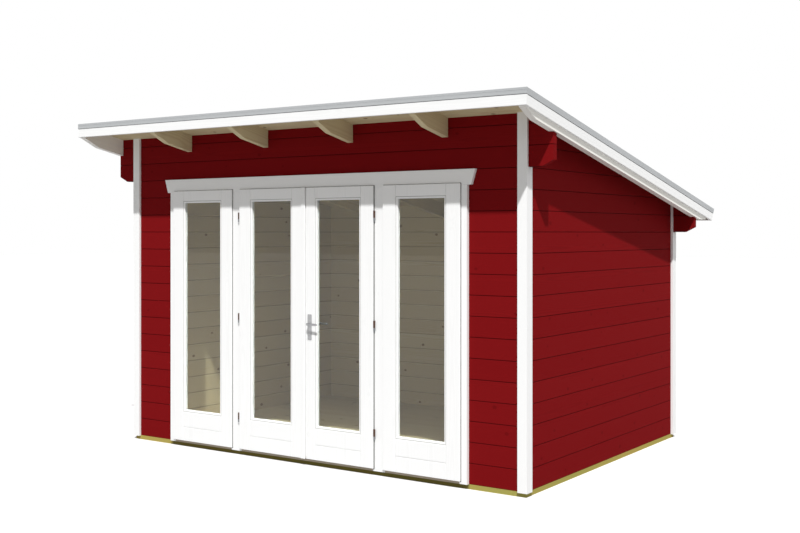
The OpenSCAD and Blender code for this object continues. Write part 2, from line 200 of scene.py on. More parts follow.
def treated(name, along, across, width, start=0.0, shade_reach=0.0):
    """Sawn wood, impregnated green. The front beam gets painted shade on either side of the
    middle, out to the given half-width, where the threshold and the door unit stand out over it."""
    finish = Finish(name, {"Roughness": 0.85, "Specular IOR Level": 0.1})
    wood = Timber(finish, along, across, width, start)
    body = finish.mix((0.50, 0.395, 0.105, 1), (0.31, 0.24, 0.06, 1),
                      wood.rings * 0.6 + wood.fibre * 0.3)
    green = finish.mix(body, (0.32, 0.34, 0.085, 1), finish.rise(wood.cloud, 0.35, 0.75) * 0.55)
    colour = finish.mix(green, (0.16, 0.10, 0.03, 1), wood.knot * 0.8)
    # Painted shade: the front beam is darkened where the threshold and the door unit shade it.
    if shade_reach:
        x, y, _ = finish.coordinates()
        soft = 0.01
        beam_shade = finish.rise(abs(x), shade_reach + soft, shade_reach - soft) * (y < 0.0)
        colour = finish.mix(colour, (0.07, 0.06, 0.015, 1), beam_shade * 0.65)
    finish.feed("Base Color", colour)
    finish.bump(wood.fibre + wood.rings * 0.4, 0.0006)
    return finish


def dress(finish, *names):
    """Gives CAD nodes a finish."""
    for name in names:
        for slot in nodes[name].material_slots:
            slot.material = finish.material


beam_w = 0.06
joist_step = 0.5
front_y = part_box("front_wall_left")[0].y
back_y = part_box("back_wall")[1].y
door_unit_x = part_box("frame_jambs")[1].x
dress(treated("treated_long_beams", X, Y, beam_w, front_y, door_unit_x), "long_bearers")
dress(treated("treated_side_beams", Y, X, beam_w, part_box("side_bearers")[0].x), "side_bearers")
dress(treated("treated_joists", Y, X, joist_step), "floor_joists")

# ---- Floor boards ----
# Planed pine boards, tongued and grooved, nailed across the joists with their faces flush. They
# run along the front wall, 24 of them, all of one width.


def carried(outlines, low, high, axis):
    """Bars. Each outline, n by k by 2, is a closed line in the plane across the axis. Its points
    stand at low and again at high along the axis. Side faces, k of them, join the two rows, and
    two end faces close the bar."""
    outlines = np.asarray(outlines, float)
    count, k, _ = outlines.shape
    points = np.empty((count, 2, k, 3))
    points[..., [i for i in range(3) if i != axis]] = outlines[:, None]
    points[:, 0, :, axis] = np.reshape(low, (-1, 1))
    points[:, 1, :, axis] = np.reshape(high, (-1, 1))
    near, far = np.arange(count * 2 * k).reshape(count, 2, k).transpose(1, 0, 2)
    sides = np.stack([near, np.roll(near, -1, 1), np.roll(far, -1, 1), far], -1).reshape(-1, 4)
    return points.reshape(-1, 3), sides.tolist() + near.tolist() + far.tolist()


def together(*shapes):
    """Several lots of vertices and faces as one."""
    starts = np.cumsum([0] + [len(vertices) for vertices, _ in shapes])
    faces = [[i + start for i in face] for start, (_, lot) in zip(starts, shapes) for face in lot]
    return np.concatenate([vertices for vertices, _ in shapes]), faces


def piece(name, shape, body, finish, replaced=(), bevel=0.0, smooth=False):
    """A mesh object of that shape, faces outwards, that moves with a CAD body."""
    vertices, faces = shape
    mesh = bpy.data.meshes.new(name)
    mesh.from_pydata(vertices.tolist(), [], faces)
    work = bmesh.new()
    work.from_mesh(mesh)
    bmesh.ops.recalc_face_normals(work, faces=work.faces)
    work.to_mesh(mesh)
    work.free()
    mesh.polygons.foreach_set("use_smooth", [smooth] * len(mesh.polygons))
    mesh.materials.append(finish.material)
    made = bpy.data.objects.new(name, mesh)
    bpy.context.scene.collection.objects.link(made)
    if bevel:
        edges = made.modifiers.new("edges", "BEVEL")
        edges.width = bevel
        edges.segments = 2
        edges.limit_method = "ANGLE"
    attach(made, body)
    if replaced:
        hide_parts(*replaced)
    return made


def pine(name, along, across, width, start=0.0, slope=0.0, knots=0.6):
    """Bare planed pine, honey-coloured, with brown knots."""
    finish = Finish(name, {"Specular IOR Level": 0.35})
    bare_pine(finish, Timber(finish, along, across, width, start, slope, knots))
    return finish


def bare_pine(finish, wood):
    """Feeds the shader with bare pine and returns the colour."""
    body = finish.mix((0.70, 0.62, 0.405, 1), (0.54, 0.43, 0.235, 1),
                      wood.rings * 0.5 + wood.fibre * 0.15)
    toned = finish.mix(body, (0.58, 0.46, 0.265, 1), wood.lot * 0.4 + wood.cloud * 0.2)
    colour = finish.mix(toned, (0.20, 0.11, 0.05, 1), wood.knot * 0.75)
    finish.feed("Base Color", colour)
    finish.feed("Roughness", 0.72 - wood.rings * 0.12)
    finish.bump(wood.fibre * 0.6 + wood.rings * 0.5, 0.0003)
    return colour


def boards(count, start, width, thickness, chamfer, chamfer_side):
    """Outlines of boards side by side: width along the first axis, thickness along the second,
    with the long edges on one face chamfered, where two boards meet in a V."""
    s = np.array([0, chamfer, width - chamfer, width, width, 0])
    t = np.array([chamfer, 0, 0, chamfer, thickness, thickness])
    if chamfer_side > 0:
        t = thickness - t
    shift = start + width * np.arange(count)
    return np.stack([s + shift[:, None], np.broadcast_to(t, (count, 6))], -1)


floor_low, floor_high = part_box("floor_boards")
floor_count = 24
floor_chamfer = 0.001
floor_w = (floor_high.y - floor_low.y) / floor_count
floor_t = floor_high.z - floor_low.z
floor_lines = boards(floor_count, floor_low.y, floor_w, floor_t, floor_chamfer, 1)
floor_lines[..., 1] += floor_low.z
piece("floor_board_row", carried(floor_lines, floor_low.x, floor_high.x, X), "shed",
      pine("pine_floor", X, Y, floor_w, floor_low.y), ["floor_boards"])

# ---- Log walls ----
# Machined spruce logs with tongues and grooves, stacked so that a small V shows at each joint.
# Their outer faces carry a red stain through which the grain still shows, and the inner faces
# stay bare.

log_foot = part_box("front_wall_left")[0].z
courses_below_top = 15
log_h = (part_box("front_wall_top")[0].z - log_foot) / courses_below_top
log_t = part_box("back_wall")[1].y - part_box("back_wall")[0].y
wall_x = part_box("right_wall")[1].x
seam_edge, seam_core = 0.0036, 0.0016


def logs(name, along, across_face):
    """Stained outside and bare inside: the inner faces lie more than half a log within the walls.
    The V between two logs is darker: painted shade, with the stain and dust that gather there."""
    finish = Finish(name, {"Specular IOR Level": 0.02})
    wood = Timber(finish, along, Z, log_h, log_foot, knots=0.55)
    x, y, z = finish.coordinates()
    course = (z - log_foot) / log_h
    # Painted shade in the V between two logs, together with stain and dust.
    seam_shade_and_dust = finish.rise(abs(course - (course + 0.5).floor()) * log_h, seam_edge, seam_core)
    half = log_t / 2
    inside = (abs(x) < wall_x - half) * (y > front_y + half) * (y < back_y - half)
    bare = bare_pine(finish, wood)
    grain = wood.rings * 0.35 + wood.fibre * 0.3
    stain = finish.mix((0.220, 0.0072, 0.0085, 1), (0.148, 0.0046, 0.0060, 1), grain)
    stain = finish.mix(stain, (0.183, 0.0048, 0.0064, 1), wood.lot * 0.6)
    stain = finish.mix(stain, (0.10, 0.0025, 0.0035, 1), wood.knot * 0.45)
    stain = finish.mix(stain, (0.035, 0.0015, 0.002, 1), seam_shade_and_dust * 0.75)
    bare = finish.mix(bare, (0.16, 0.12, 0.07, 1), seam_shade_and_dust * 0.7)
    finish.feed("Base Color", finish.mix(stain, bare, inside))
    finish.feed("Roughness", 0.78 - wood.fibre * 0.1)
    return finish


dress(logs("logs_along_front", X, Y), "front_wall_left", "front_wall_right", "front_wall_top",
      "back_wall", "back_wall_top")
dress(logs("logs_along_side", Y, X), "left_wall", "right_wall")

# ---- Rafters ----
# Planed pine beams, notched into the top logs. The inner four stay bare; the outer two, which lie
# on the ends of the long logs outside the walls, get the white paint of the trim, toned warmer
# and a little darker as painted shade for their shaded undersides.

pitch = math.radians(11.4)


def painted(name, along, across, width, start=0.0, slope=0.0, white=(0.935, 0.935, 0.93, 1)):
    """White satin paint on planed wood, through which the grain shows as a faint relief."""
    finish = Finish(name, {"Specular IOR Level": 0.3})
    wood = Timber(finish, along, across, width, start, slope, knots=0.35)
    shade = wood.fibre * 0.25 + wood.rings * 0.25 + wood.knot * 0.2
    finish.feed("Base Color", finish.mix(white, (0.84, 0.84, 0.83, 1), shade))
    finish.feed("Roughness", 0.5 + wood.fibre * 0.12)
    finish.bump(wood.rings * 0.5 + wood.fibre * 0.35 - wood.knot * 0.3, 0.00025)
    return finish


rafter_lot = 0.386
dress(pine("pine_rafters", Y, X, rafter_lot, -rafter_lot / 2, pitch, 0.3), "inner_rafters")
# Painted shade: the outer rafters' white is warmer and darker than the trim's, for their shade.
dress(painted("white_rafters_warmed_for_shade", Y, X, rafter_lot, -rafter_lot / 2, pitch, (0.92, 0.90, 0.84, 1)),
      "left_outer_rafter", "right_outer_rafter")

# ---- Roof boards ----
# Tongued and grooved pine boards across the rafters, from the eaves to the top edge. Their lower
# edges are chamfered, so that the ceiling and the soffit show a V between every two boards.


def on_slope(outlines, origin):
    """Turns outlines given along and across the slope into Y and Z, from an origin (y, z)."""
    s, t = outlines[..., 0], outlines[..., 1]
    y = origin[0] + s * math.cos(pitch) + t * math.sin(pitch)
    z = origin[1] - s * math.sin(pitch) + t * math.cos(pitch)
    return np.stack([y, z], -1)


roof_low, roof_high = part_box("roof_boards")
board_t = 0.016
board_chamfer = 0.003
board_end_in = 0.008
underside = (roof_low.y, roof_high.z - board_t / math.cos(pitch))
slope_len = (roof_high.y - board_end_in - roof_low.y) / math.cos(pitch)
board_count = 33
board_w = slope_len / board_count
roof_lines = on_slope(boards(board_count, 0.0, board_w, board_t, board_chamfer, -1), underside)
roof_start = underside[0] * math.cos(pitch) - underside[1] * math.sin(pitch)
piece("roof_board_row", carried(roof_lines, roof_low.x, roof_high.x, X), "shed",
      pine("pine_roof", X, Y, board_w, roof_start, pitch, 0.7), ["roof_boards"])

# ---- Roofing felt ----
# Bitumen felt with a mineral face, in sheets a metre wide that run along the roof. Each sheet
# laps over the next one down and is nailed through the lap with flat-headed clouts.

felt_low, felt_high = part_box("roof_felt")
felt_t = 0.0029
ply = felt_t / 2
felt_end_in = 0.004
felt_origin = (felt_low.y, felt_high.z - felt_t / math.cos(pitch))
felt_len = (felt_high.y - felt_end_in - felt_low.y) / math.cos(pitch)
sheet_count = 3
sheet_w = felt_len / sheet_count
lap = 0.08
fold = 0.02


def felt_sheets():
    """Outlines of the sheets: each lies on the boards down to the lap, then climbs by its own
    thickness over the top edge of the next sheet. The lowest sheet ends flat."""
    order = np.arange(sheet_count)
    lapped = order < sheet_count - 1
    starts = sheet_w * order
    ends = sheet_w * (order + 1) + lap * lapped
    lift = ply * lapped
    bend = ends - lap - fold
    s = np.stack([starts, bend, bend + fold, ends, ends, bend + fold, bend, starts], -1)
    flat = np.zeros(sheet_count)
    t = np.stack([flat, flat, lift, lift, lift + ply, lift + ply, flat + ply, flat + ply], -1)
    return on_slope(np.stack([s, t], -1), felt_origin)


felt = Finish("mineral_felt", {"Specular IOR Level": 0.2})
fx, fy, fz = felt.coordinates(pitch)
grit = felt.noise(fx * 900.0, fy * 900.0, fz * 900.0, 1.0)
patch = felt.noise(fx * 3.0, fy * 3.0, fz * 3.0, 4.0)
felt.feed("Base Color", felt.mix((0.055, 0.057, 0.06, 1), (0.20, 0.205, 0.21, 1),
                                 felt.rise(grit, 0.42, 0.62) * 0.7 + patch * 0.25))
felt.feed("Roughness", 0.96 - grit * 0.1)
felt.bump(grit, 0.0012)
piece("felt_sheets", carried(felt_sheets(), felt_low.x, felt_high.x, X), "shed", felt,
      ["roof_felt"])


def metal(name, colour, dull, roughness, metallic=1.0):
    """Plain metal with a cloudy tarnish from colour to dull and fine brushing across it."""
    finish = Finish(name, {"Metallic": metallic})
    x, y, z = finish.coordinates()
    brushing = finish.noise(x * 60.0, y * 60.0, z * 2500.0)
    tarnish = finish.noise(x * 90.0, y * 90.0, z * 90.0, 3.0)
    finish.feed("Base Color", finish.mix(colour, dull, tarnish))
    finish.feed("Roughness", roughness + brushing * 0.15)
    finish.bump(brushing, 0.00002)
    return finish


nail_r, nail_t, nail_sides = 0.005, 0.0008, 10
nail_step, first_nail, last_nail = 0.1, 0.05, 0.03
nail_x = np.arange(felt_low.x + first_nail, felt_high.x - last_nail, nail_step)
nail_s = sheet_w * np.arange(1, sheet_count) + lap / 2
spots = np.stack(np.meshgrid(nail_x, nail_s), -1).reshape(-1, 1, 2)
turn = np.linspace(0, 2 * math.pi, nail_sides, endpoint=False)
heads, head_faces = carried(spots + nail_r * np.stack([np.cos(turn), np.sin(turn)], -1),
                            felt_t - nail_t, felt_t + nail_t, Z)
heads[:, 1:] = on_slope(heads[:, 1:], felt_origin)
zinc = metal("zinc_plate", (0.30, 0.31, 0.32, 1), (0.18, 0.19, 0.20, 1), 0.35)
piece("felt_nails", (heads, head_faces), "shed", zinc)

# ---- Fascias and bargeboards ----
# Planed boards, painted white before they are screwed to the rafter ends and to the outer
# rafters. A narrow groove below the metal strip keeps the water from creeping back under it.

fascia_lot, lot_foot = 0.15, 2.0
white_along = painted("white_along_the_front", X, Z, fascia_lot, lot_foot)
white_slope = painted("white_down_the_slope", Y, X, rafter_lot, -rafter_lot / 2, pitch)
strip_low, strip_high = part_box("front_roof_edge")
strip_h = 0.039
groove_h = 0.0035
groove_d = 0.006
round_off = 0.002
roof_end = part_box("back_roof_edge")[1].y
back_lean = math.tan(math.radians(24))


def roof_top(y):
    """Height of the roof's top line at a depth y."""
    return strip_high.z - (y - strip_low.y) * math.tan(pitch)


def down_the_slope(outline, y_front, back_in):
    """A bar down the slope. Its outline is given as (x, depth below the roof's top line); the front
    end is upright, and the back end leans inwards with depth, back_in within the roof's end."""
    x, depth = np.asarray(outline, float).T
    y_back = roof_end - back_in - depth * back_lean
    points = np.stack([np.stack([x, 0 * x + y, roof_top(y) - depth], -1)
                       for y in (y_front, y_back)])
    k = len(x)
    near, far = np.arange(2 * k).reshape(2, k)
    sides = np.stack([near, np.roll(near, -1), np.roll(far, -1), far], -1)
    return points.reshape(-1, 3), sides.tolist() + [near.tolist(), far.tolist()]


def grooved(inner, outer, top, groove, foot):
    """Outline of a board: outer face with a groove below the strip and an eased lower edge."""
    out = math.copysign(1, outer - inner)
    return np.array([[inner, top], [outer, top], [outer, groove], [outer - out * groove_d, groove],
                     [outer - out * groove_d, groove + groove_h], [outer, groove + groove_h],
                     [outer, foot - round_off], [outer - out * round_off, foot], [inner, foot]])


barge_low, barge_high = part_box("right_bargeboard")
felt_depth = 0.0054
fascia_h = 0.105
barge_end_in = 0.00205
for side, name in ((-1, "left"), (1, "right")):
    line = grooved(side * barge_low.x, side * barge_high.x, felt_depth, strip_h, fascia_h)
    piece(name + "_barge_board", down_the_slope(line, barge_low.y, barge_end_in), "shed",
          white_slope, [name + "_bargeboard"])

fascia_low, fascia_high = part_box("front_fascia")
fascia_line = grooved(fascia_high.y, fascia_low.y, felt_depth, strip_h, fascia_h)
fascia_line[:, 1] = strip_high.z - fascia_line[:, 1]
piece("front_fascia_board", carried(fascia_line[None], fascia_low.x, fascia_high.x, X), "shed",
      white_along, ["front_fascia"])
dress(white_along, "back_fascia")

# ---- Roof edge strips ----
# Coated steel folded to an angle: one leg lies on the felt and the other hangs over the fascia,
# to keep the water off the wood. The front strip has a rib along its middle and a hem at its
# foot. A near-black tape in the groove of the board behind the strip's foot is painted shade:
# it stands in for the shadow line under the strip.

strip_metal = Finish("coated_edge", {"Specular IOR Level": 0.35})
ex, ey, ez = strip_metal.coordinates()
waver = strip_metal.noise(ex * 1.7, ey * 1.7, ez * 9.0, 3.0)
speck = strip_metal.noise(ex * 500.0, ey * 500.0, ez * 500.0, 0.0)
strip_metal.feed("Base Color", strip_metal.mix((0.40, 0.412, 0.42, 1), (0.50, 0.513, 0.522, 1),
                                               waver))
strip_metal.feed("Roughness", 0.45 + speck * 0.12)
strip_metal.bump(waver * 0.8 + speck * 0.1, 0.0008)
dress(strip_metal, "back_roof_edge", "side_roof_edges")

sheet_t = 0.002
rib = 0.001
rib_at, hem_at, fold_r = 0.0145, 0.030, 0.003
leg_w = strip_high.y - strip_low.y
strip_face = np.array([
    [leg_w, 0], [fold_r, 0], [rib * 1.3, rib], [rib, fold_r], [rib, rib_at - rib], [0, rib_at],
    [rib, rib_at + rib], [rib, hem_at - rib], [0, hem_at], [0, strip_h], [sheet_t, strip_h],
    [sheet_t, sheet_t], [leg_w, sheet_t / math.cos(pitch)]])
on_leg = np.array([1, 1, 0.5, 0, 0, 0, 0, 0, 0, 0, 0, 1, 1])
strip_line = np.stack([strip_low.y + strip_face[:, 0], strip_high.z - strip_face[:, 1]
                       - on_leg * strip_face[:, 0] * math.tan(pitch)], -1)
piece("front_edge_strip", carried(strip_line[None], strip_low.x, strip_high.x, X), "shed",
      strip_metal, ["front_roof_edge"])

# Painted shade: the near-black tape stands in for the shadow line under the front and side strips.
shade_tape_finish = Finish("painted_shade_tape", {"Base Color": (0.03, 0.031, 0.033, 1), "Roughness": 0.9,
                            "Specular IOR Level": 0.2})
tape_in = 0.0008
tape_end_in = 0.003
tape_depth = strip_h, strip_h + groove_h
tape_y = fascia_low.y + tape_in, fascia_low.y + groove_d
front_tape = [[tape_y[0], strip_high.z - tape_depth[1]], [tape_y[1], strip_high.z - tape_depth[1]],
              [tape_y[1], strip_high.z - tape_depth[0]], [tape_y[0], strip_high.z - tape_depth[0]]]
side_tapes = [down_the_slope([[side * x, depth] for x, depth in (
    (barge_high.x - groove_d, tape_depth[0]), (barge_high.x - tape_in, tape_depth[0]),
    (barge_high.x - tape_in, tape_depth[1]), (barge_high.x - groove_d, tape_depth[1]))],
    barge_low.y + tape_in, tape_end_in) for side in (-1, 1)]
front_bar = carried([front_tape], fascia_low.x + tape_in, fascia_high.x - tape_in, X)
piece("edge_shade_tapes", together(front_bar, *side_tapes), "shed", shade_tape_finish)

# ---- Corner boards ----
# White boards stand upright over the log joints at the four corners. They hide the sawn ends of
# the joints and are cut round the logs that run out past them.

upright_lot = 0.11
white_upright = painted("white_upright", Z, X, upright_lot)
dress(white_upright, "front_left_corner", "front_right_corner", "back_left_corner",
      "back_right_corner")

# ---- Door frame ----
# Two jambs, two mullions and a head of planed wood, painted white and set in the opening of the
# front wall. The doors hang on the mullions, and the windows fill the bays beside them.

dress(white_upright, "frame_jambs", "frame_mullions")
dress(white_along, "frame_head")

# ---- Threshold ----
# A strip of oiled hardwood under the leaves and windows. It stays unpainted, and its growth rings
# lie closer together than those of the other wood.

hardwood = Finish("oiled_hardwood", {"Specular IOR Level": 0.4})
sill_lot = 0.2
sill_wood = Timber(hardwood, X, Z, sill_lot, knots=0.0, ring=0.003)
hardwood.feed("Base Color", hardwood.mix((0.52, 0.44, 0.34, 1), (0.34, 0.27, 0.19, 1),
                                         sill_wood.rings * 0.5 + sill_wood.fibre * 0.4))
hardwood.feed("Roughness", 0.55 + sill_wood.fibre * 0.15)
hardwood.bump(sill_wood.fibre, 0.0003)
dress(hardwood, "threshold")

# ---- Header board ----
# A white board over the doors and windows. Its ends are cut on a slant, so that it is wider at
# the top than at the foot, and its edges are eased.

head_low, head_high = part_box("header_board")
flare = 0.031
header_edge = 0.002
header_line = np.array([[[head_low.x + flare, head_low.z], [head_high.x - flare, head_low.z],
                         [head_high.x, head_high.z], [head_low.x, head_high.z]]])
piece("door_header", carried(header_line, head_low.y, head_high.y, Y), "shed", white_along,
      ["header_board"], bevel=header_edge)

# ---- Window sashes and door leaves ----
# Two stiles stand from end to end, a rail joins them at the top and two boards fill the foot
# between them. A moulded bead, mitred at its corners, holds the pane from both sides, and grey
# mastic fills the groove round the bead.

bead_w = 0.016
glass_bite = 0.010
bead_gap = 0.005
foot_board_h = 0.107
layer_lap = 0.002
joint_gap = 0.0015
leaf_edge = 0.0025


def blocks(boxes):
    """Upright bars from rows of x0, x1, y0, y1, z0, z1."""
    x0, x1, y0, y1, z0, z1 = np.array(boxes, float).T
    lines = np.stack([np.stack([x0, x1, x1, x0], -1), np.stack([y0, y0, y1, y1], -1)], -1)
    return carried(lines, z0, z1, Z)


def mitred(x0, x1, z0, z1, profile):
    """A frame round a rectangle. Each profile point is (distance outwards from the rectangle, y);
    the profile is repeated at the four corners, moved out along both axes, and joined round."""
    profile = np.asarray(profile, float)
    k = len(profile)
    side = np.array([[-1, -1], [1, -1], [1, 1], [-1, 1]])
    points = np.empty((4, k, 3))
    points[..., X] = (x0 + x1) / 2 + side[:, :1] * ((x1 - x0) / 2 + profile[:, 0])
    points[..., Z] = (z0 + z1) / 2 + side[:, 1:] * ((z1 - z0) / 2 + profile[:, 0])
    points[..., Y] = profile[:, 1]
    here = np.arange(4 * k).reshape(4, k)
    on = np.roll(here, -1, 0)
    faces = np.stack([here, np.roll(here, -1, 1), np.roll(on, -1, 1), on], -1).reshape(-1, 4)
    return points.reshape(-1, 3), faces.tolist()


def bead(depth_edge, depth_face, face_in=0.003, round_r=0.007, root_share=0.3):
    """Profile of a bead: it starts at the glass, rises to a quarter round and ends flat beside the
    stile, a little behind the stile's face, with a groove between them down to its root."""
    root = depth_edge + (depth_face - depth_edge) * root_share
    toward = math.copysign(1, depth_face - depth_edge)
    turn = np.linspace(0, math.pi / 2, 6)
    face = depth_face - toward * face_in
    u = round_r - round_r * np.cos(turn)
    y = face - toward * (round_r - round_r * np.sin(turn))
    return [[0.0, depth_edge], *np.stack([u, y], -1).tolist(), [bead_w - bead_gap, face],
            [bead_w - bead_gap, root], [bead_w, root], [bead_w, depth_edge]]


mastic = Finish("grey_mastic", {"Base Color": (0.50, 0.50, 0.48, 1), "Roughness": 0.7,
                                "Specular IOR Level": 0.2})
fill_in, fill_root = 0.004, 0.002


def glazed(name, body, leaf_node, pane_node, lip, back_in, pane_side=0):
    """A glazed leaf in the place of its CAD node. Its lip is the front layer; the back layer is
    smaller by back_in (left, right, foot, top) and fits into the frame. A pane_side of -1 or 1
    takes the left or the right one of two panes in the same node."""
    (x0, y0, z0), (x1, y1, z1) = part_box(leaf_node)
    (gx0, gy0, gz0), (gx1, gy1, gz1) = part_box(pane_node)
    if pane_side:
        gx0, gx1 = sorted(pane_side * np.array([pane_inner - glass_bite, gx1]))
    ox0, ox1, oz0, oz1 = gx0 + glass_bite, gx1 - glass_bite, gz0 + glass_bite, gz1 - glass_bite
    sx0, sx1, sz0, sz1 = ox0 - bead_w, ox1 + bead_w, oz0 - bead_w, oz1 + bead_w
    split = z0 + foot_board_h
    back = y0 + lip - layer_lap
    rows = []
    for low_y, high_y, left, right, foot, top, gap in (
            (y0, y0 + lip, 0, 0, 0, 0, joint_gap), (back, y1, *back_in, 0)):
        rows += [[x0 + left, sx0, low_y, high_y, z0 + foot, z1 - top],
                 [sx1, x1 - right, low_y, high_y, z0 + foot, z1 - top],
                 [sx0 + gap, sx1 - gap, low_y, high_y, sz1, z1 - top],
                 [sx0 + gap, sx1 - gap, low_y, high_y, z0 + foot, split - gap],
                 [sx0 + gap, sx1 - gap, low_y, high_y, split, sz0]]
    piece(name + "_frame", blocks(rows), body, white_upright, [leaf_node],
          bevel=leaf_edge)
    beads = together(*[mitred(ox0, ox1, oz0, oz1, bead(glass_y, face_y))
                       for glass_y, face_y in ((gy0, y0), (gy1, y1))])
    piece(name + "_beads", beads, body, white_upright)
    rings = together(*[mitred(ox0, ox1, oz0, oz1, [
        [bead_w - bead_gap, y], [bead_w, y], [bead_w, root], [bead_w - bead_gap, root]])
        for y, root in ((y0 + fill_in, gy0 - fill_root), (y1 - fill_in, gy1 + fill_root))])
    piece(name + "_mastic", rings, body, mastic)


window_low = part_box("right_window_sash")[0]
window_stile = 0.121
pane_inner = window_low.x + window_stile
window_lip, door_lip = 0.014, 0.009
window_in = 0.012, 0.012, 0.012, 0.010
glazed("left_window", "shed", "left_window_sash", "window_glass", window_lip, window_in, -1)
glazed("right_window", "shed", "right_window_sash", "window_glass", window_lip, window_in, 1)
glazed("left_door", "left_door", "left_door_leaf", "left_door_glass", door_lip,
       (0.017, 0.0, 0.017, 0.015))
glazed("right_door", "right_door", "right_door_leaf", "right_door_glass", door_lip,
       (0.0, 0.017, 0.017, 0.015))

# ---- Panes ----
# Clear float glass 4 mm thick, with the faint green of its edge. Lamps shine straight through, so
# that the room is lit as it is behind real glass.

pane = Finish("clear_pane", {"Base Color": (0.87, 0.885, 0.865, 1), "Roughness": 0.0, "IOR": 1.45,
                             "Transmission Weight": 1.0})
shadow = pane.node("ShaderNodeLightPath", {}, {}, "Is Shadow Ray")
through = pane.node("ShaderNodeBsdfTransparent", {}, {"Color": (0.77, 0.79, 0.765, 1)})
solid = Value(pane, pane.shader.outputs[0])
shown = pane.node("ShaderNodeMixShader", {}, {0: shadow, 1: solid, 2: through})
pane.tree.links.new(shown.socket, pane.tree.nodes["Material Output"].inputs["Surface"])
dress(pane, "window_glass", "left_door_glass", "right_door_glass")

# ---- Seals ----
# Black profiles on the face of the frame: rubber seals behind the lips of the doors, which press
# on them, and dark rings round the lips of the windows. The dark line that they show round each
# lip is painted shade, for the shadow in the gap between lip and frame.

rubber_and_gap_shade = Finish("black_rubber_and_gap_shade", {"Base Color": (0.022, 0.021, 0.02, 1), "Roughness": 0.8,
                                 "Specular IOR Level": 0.25})
seal_out, seal_in, seal_t = 0.0025, 0.008, 0.003
frame_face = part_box("frame_mullions")[0].y
hinge_clear = 0.612


def seal(low, high, front, inner, outer):
    """A flat ring on the face of the frame, as far forward as front, from inner to outer of the
    outline of a lip, where outwards counts as positive."""
    profile = [[inner, front], [outer, front], [outer, frame_face], [inner, frame_face]]
    return mitred(low.x, high.x, low.z, high.z, profile)


door_low, door_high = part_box("left_door_leaf")[0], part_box("right_door_leaf")[1]
# Painted shade: dark rings round the window lips stand in for the shadow in the gap.
window_gap_shades = [seal(*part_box(name), frame_face - seal_t, 0.0, seal_out)
                for name in ("left_window_sash", "right_window_sash")]
piece("window_gap_shades", together(*window_gap_shades), "shed", rubber_and_gap_shade)
# Door seal behind the lips; the dark edge that shows round them is painted shade for the gap.
piece("door_seal_and_gap_shade", seal(door_low, door_high, door_low.y + door_lip, -seal_in,
                        min(seal_out, hinge_clear - door_high.x)), "shed", rubber_and_gap_shade)

# ---- Meeting strip ----
# A thin planed lath stands beside the gap where the two leaves meet, screwed to the left one. Its
# front edges are rounded over.

lath_low, lath_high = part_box("meeting_strip")
ease = 0.003
quarter = np.linspace(0, math.pi / 2, 5)
lath_line = np.concatenate([
    [[lath_high.x, lath_high.y], [lath_low.x, lath_high.y]],
    np.stack([lath_low.x + ease - ease * np.cos(quarter),
              lath_low.y + ease - ease * np.sin(quarter)], -1),
    np.stack([lath_high.x - ease + ease * np.sin(quarter),
              lath_low.y + ease - ease * np.cos(quarter)], -1)])
piece("meeting_lath", carried(lath_line[None], lath_low.z, lath_high.z, Z), "left_door",
      white_upright, ["meeting_strip"])

# ---- Hinges ----
# Lift-off hinges: a sleeve on the leaf drops over the pin of a zinc-plated foot on the frame. The
# sleeves have a copper-brown coat.

dress(zinc, "frame_hinges")
dress(metal("copper_coat", (0.085, 0.026, 0.007, 1), (0.02, 0.009, 0.005, 1), 0.45, 0.1),
      "left_door_hinges", "right_door_hinges")

# ---- Handle ----
# A pair of levers on one spindle, bent from round bar and flattened at the grip, with long plates
# that carry the lock cylinder below the lever. The levers are polished and the plates satin.


def bent_bar(root, reach, run, bend, half_h, half_t, turns=7, around=20):
    """A lever: its path leaves the root along Y for reach, turns through a quarter circle of radius
    bend and runs along X to run. An ellipse, half_h along Z and half_t in the plane of the path, is
    carried along it and shrinks to a dome at the tip."""
    way = math.copysign(1, reach)
    turn = np.linspace(0, math.pi / 2, turns)
    dome = np.linspace(0, math.pi / 2, turns)[1:]
    arc_x, arc_y = bend - bend * np.cos(turn), reach - way * (bend - bend * np.sin(turn))
    tip = run - half_h
    x = np.concatenate([[0], arc_x, tip + half_h * np.sin(dome)])
    y = np.concatenate([[0], arc_y, 0 * dome + reach])
    heading = np.concatenate([[0], turn, 0 * dome + math.pi / 2])
    size = np.concatenate([np.ones(1 + turns), np.maximum(np.cos(dome), 0.02)])
    angle = np.linspace(0, 2 * math.pi, around, endpoint=False)
    sideways = half_t * np.cos(angle) * size[:, None]
    points = np.stack([x[:, None] + sideways * np.cos(heading)[:, None],
                       y[:, None] - way * sideways * np.sin(heading)[:, None],
                       half_h * np.sin(angle) * size[:, None]], -1) + root
    here = np.arange(len(x) * around).reshape(len(x), around)
    sides = np.stack([here[:-1], np.roll(here[:-1], -1, 1), np.roll(here[1:], -1, 1), here[1:]], -1)
    ends = [here[0].tolist(), here[-1].tolist()]
    return points.reshape(-1, 3), sides.reshape(-1, 4).tolist() + ends


satin = metal("satin_steel", (0.46, 0.46, 0.465, 1), (0.33, 0.33, 0.335, 1), 0.3, 0.55)
plate_low, plate_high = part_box("handle_plates")
leaf_low, leaf_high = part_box("right_door_leaf")
lever_low, lever_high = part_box("door_lever")
spindle = (plate_low.x + plate_high.x) / 2, (lever_low.z + lever_high.z) / 2
grip_half_h, grip_half_t = 0.0085, 0.0055
grip_bend = 0.012
levers = [bent_bar(np.array([spindle[0], start, spindle[1]]), reach, lever_high.x - spindle[0],
                   grip_bend, grip_half_h, grip_half_t)
          for start, reach in ((leaf_low.y, lever_low.y + grip_half_t - leaf_low.y),
                               (leaf_high.y, lever_high.y - grip_half_t - leaf_high.y))]
polished = metal("polished_steel", (0.42, 0.42, 0.43, 1), (0.27, 0.27, 0.28, 1), 0.3, 0.9)
piece("lever_pair", together(*levers), "lever", polished, ["door_lever"],
      smooth=True)

